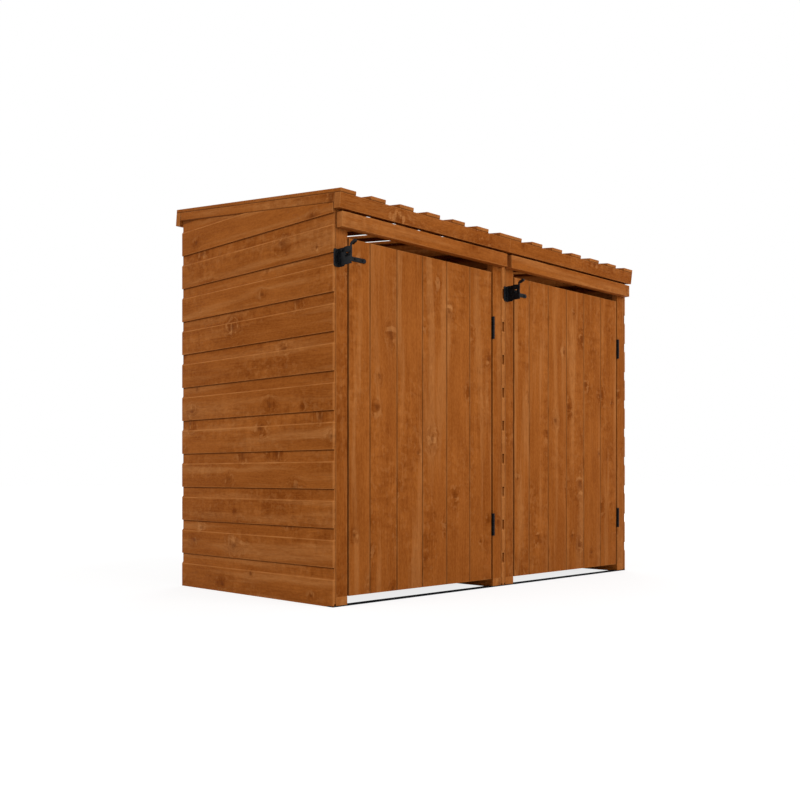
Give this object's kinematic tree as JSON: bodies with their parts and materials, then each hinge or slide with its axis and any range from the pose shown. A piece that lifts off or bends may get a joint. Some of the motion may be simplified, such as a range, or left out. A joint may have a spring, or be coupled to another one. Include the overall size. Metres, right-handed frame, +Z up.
{
  "type": "wheelie bin store",
  "caption": "Free-standing timber wheelie bin store: shiplap walls, two latched doors hinged on the right and a sloping slatted roof.",
  "frame": {"origin": "on the ground, under the middle of the bounding box", "axes": "+X along the width, to the right as seen from the front; +Y from the doors to the back; +Z up"},
  "size_m": [1.56, 0.9002, 1.3074],
  "materials": {
    "wall_boards": "brown stained softwood, sawn smooth",
    "door_boards": "brown stained softwood, planed",
    "roof_slats": "brown stained softwood, planed",
    "framing_timber": "brown stained softwood, planed",
    "hinge_steel": "black, satin",
    "latch_steel": "black, satin",
    "screws": "black, satin",
    "steel_bar": "black, satin"
  },
  "bodies": {
    "frame": {"frame_screws": "screws", "ground_bar": "steel_bar", "latch_pivots": "latch_steel", "left_back_boards": "wall_boards", "left_back_rails": "framing_timber", "left_header_rail": "framing_timber", "left_hinge_back_post": "framing_timber", "left_hinge_bottom_rail": "framing_timber", "left_hinge_front_post": "framing_timber", "left_hinge_pins": "hinge_steel", "left_hinge_post_leaves": "hinge_steel", "left_hinge_side_boards": "wall_boards", "left_hinge_top_rail": "framing_timber", "left_latch_back_post": "framing_timber", "left_latch_bottom_rail": "framing_timber", "left_latch_front_post": "framing_timber", "left_latch_plate": "latch_steel", "left_latch_side_boards": "wall_boards", "left_latch_top_rail": "framing_timber", "left_roof_back_rail": "framing_timber", "left_roof_front_rail": "framing_timber", "left_roof_hinge_rail": "framing_timber", "left_roof_latch_rail": "framing_timber", "left_roof_slats": "roof_slats", "right_back_boards": "wall_boards", "right_back_rails": "framing_timber", "right_header_rail": "framing_timber", "right_hinge_back_post": "framing_timber", "right_hinge_bottom_rail": "framing_timber", "right_hinge_front_post": "framing_timber", "right_hinge_pins": "hinge_steel", "right_hinge_post_leaves": "hinge_steel", "right_hinge_side_boards": "wall_boards", "right_hinge_top_rail": "framing_timber", "right_latch_back_post": "framing_timber", "right_latch_bottom_rail": "framing_timber", "right_latch_front_post": "framing_timber", "right_latch_plate": "latch_steel", "right_latch_side_boards": "wall_boards", "right_latch_top_rail": "framing_timber", "right_roof_back_rail": "framing_timber", "right_roof_front_rail": "framing_timber", "right_roof_hinge_rail": "framing_timber", "right_roof_latch_rail": "framing_timber", "right_roof_slats": "roof_slats"},
    "door_left": {"left_door_boards": "door_boards", "left_door_brace": "framing_timber", "left_door_frame": "framing_timber", "left_door_screws": "screws", "left_hinge_door_leaves": "hinge_steel", "left_striker": "latch_steel"},
    "door_right": {"right_door_boards": "door_boards", "right_door_brace": "framing_timber", "right_door_frame": "framing_timber", "right_door_screws": "screws", "right_hinge_door_leaves": "hinge_steel", "right_striker": "latch_steel"},
    "latch_lever_left": {"left_latch_lever": "latch_steel"},
    "latch_lever_right": {"right_latch_lever": "latch_steel"}
  },
  "joints": [
    {"name": "door_left_hinge", "type": "hinge", "parent": "frame", "child": "door_left", "pos_m": [-0.0595, -0.38707, 0.5495], "axis": [0, 0, 1], "range_deg": [0, 130]},
    {"name": "latch_left_pivot", "type": "hinge", "parent": "frame", "child": "latch_lever_left", "pos_m": [-0.7532, -0.39507, 1.031], "axis": [-1, 0, 0], "range_deg": [0, 40]},
    {"name": "door_right_hinge", "type": "hinge", "parent": "frame", "child": "door_right", "pos_m": [0.7205, -0.38707, 0.5495], "axis": [0, 0, 1], "range_deg": [0, 180]},
    {"name": "latch_right_pivot", "type": "hinge", "parent": "frame", "child": "latch_lever_right", "pos_m": [0.0268, -0.39507, 1.031], "axis": [-1, 0, 0], "range_deg": [0, 40]}
  ]
}
